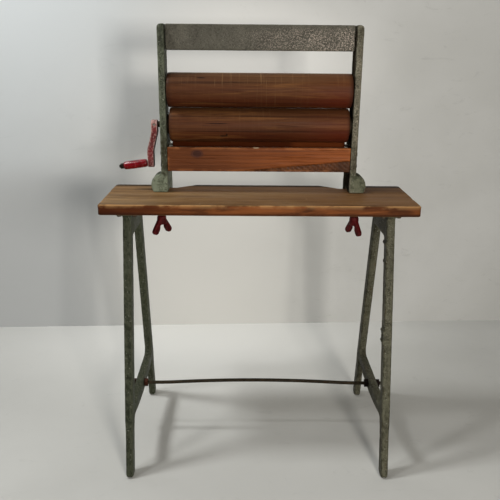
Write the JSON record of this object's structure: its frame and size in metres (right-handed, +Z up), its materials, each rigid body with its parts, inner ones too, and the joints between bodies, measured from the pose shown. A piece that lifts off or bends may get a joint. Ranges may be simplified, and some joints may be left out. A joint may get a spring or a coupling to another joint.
{
  "type": "clothes mangle",
  "caption": "Small hand-cranked clothes mangle with wooden rollers in painted side frames, clamped by winged screws to a wooden bench on A-frame legs.",
  "frame": {"origin": "on the floor, under the middle of the bench", "axes": "+Z up, +X to the right of a person at the feed side, +Y away from them, towards the outfeed side"},
  "size_m": [0.463, 0.2672, 0.66],
  "materials": {
    "bench_wood": "worn waxed softwood",
    "roller_wood": "dark stained softwood",
    "feed_wood": "reddish varnished softwood",
    "frame_paint": "worn grey-green paint",
    "leg_paint": "worn dark green paint",
    "rail_paint": "speckled grey-green paint",
    "crank_paint": "faded red paint",
    "grip_paint": "gloss red paint",
    "screw_paint": "dark red paint",
    "steel": "dull steel",
    "dark_iron": "dark oiled iron",
    "rusty_iron": "rusty iron",
    "brass": "dull brass"
  },
  "bodies": {
    "stand_and_frame": {"table_top": "bench_wood", "left_leg_frame": "leg_paint", "right_leg_frame": "leg_paint", "leg_frame_screws": "steel", "tie_rod": "dark_iron", "tie_rod_nuts": "rusty_iron", "left_side_frame": "frame_paint", "right_side_frame": "frame_paint", "top_rail": "rail_paint", "rail_screws": "frame_paint", "front_board": "feed_wood", "rear_board": "roller_wood", "feed_board_screws": "frame_paint", "rear_board_spacers": "steel", "lower_bushes": "brass", "thrust_washers": "steel"},
    "crank_and_lower_roller": {"lower_roller": "roller_wood", "lower_axle": "steel", "crank_arm": "crank_paint", "crank_cross_pin": "steel", "crank_spindle": "steel", "crank_end_nut": "dark_iron"},
    "turning_grip": {"crank_grip": "grip_paint"},
    "upper_carriage": {"upper_bearing_blocks": "brass"},
    "upper_roller_set": {"upper_roller": "roller_wood", "upper_axle": "steel"},
    "left_pad": {"left_clamp_pad": "dark_iron"},
    "right_pad": {"right_clamp_pad": "dark_iron"},
    "left_screw": {"left_thumbscrew": "screw_paint"},
    "right_screw": {"right_thumbscrew": "screw_paint"}
  },
  "joints": [
    {"name": "crank_turn", "type": "hinge", "parent": "stand_and_frame", "child": "crank_and_lower_roller", "pos_m": [0, 0.031, 0.515], "axis": [1, 0, 0], "continuous": true},
    {"name": "grip_turn", "type": "hinge", "parent": "crank_and_lower_roller", "child": "turning_grip", "pos_m": [-0.1717, 0.031, 0.456], "axis": [-0.9903, 0, -0.1392], "continuous": true},
    {"name": "upper_roller_lift", "type": "slide", "parent": "stand_and_frame", "child": "upper_carriage", "axis": [0, 0, 1], "range_m": [0, 0.006]},
    {"name": "upper_roller_turn", "type": "hinge", "parent": "upper_carriage", "child": "upper_roller_set", "pos_m": [0, 0.031, 0.5661], "axis": [1, 0, 0], "continuous": true},
    {"name": "left_pad_lift", "type": "slide", "parent": "stand_and_frame", "child": "left_pad", "axis": [0, 0, 1], "range_m": [-0.004, 0]},
    {"name": "left_thumbscrew_turn", "type": "hinge", "parent": "left_pad", "child": "left_screw", "pos_m": [-0.1535, 0.031, 0.38], "axis": [0, 0, 1], "range_deg": [-1153, 0]},
    {"name": "right_pad_lift", "type": "slide", "parent": "stand_and_frame", "child": "right_pad", "axis": [0, 0, 1], "range_m": [-0.004, 0]},
    {"name": "right_thumbscrew_turn", "type": "hinge", "parent": "right_pad", "child": "right_screw", "pos_m": [0.1535, 0.031, 0.38], "axis": [0, 0, 1], "range_deg": [-1153, 0]}
  ],
  "couplings": [
    {"joint": "upper_roller_turn", "follows": "crank_turn", "ratio": -1},
    {"joint": "left_thumbscrew_turn", "follows": "left_pad_lift", "rad_per_m": 5026.5},
    {"joint": "right_thumbscrew_turn", "follows": "right_pad_lift", "rad_per_m": 5026.5}
  ]
}
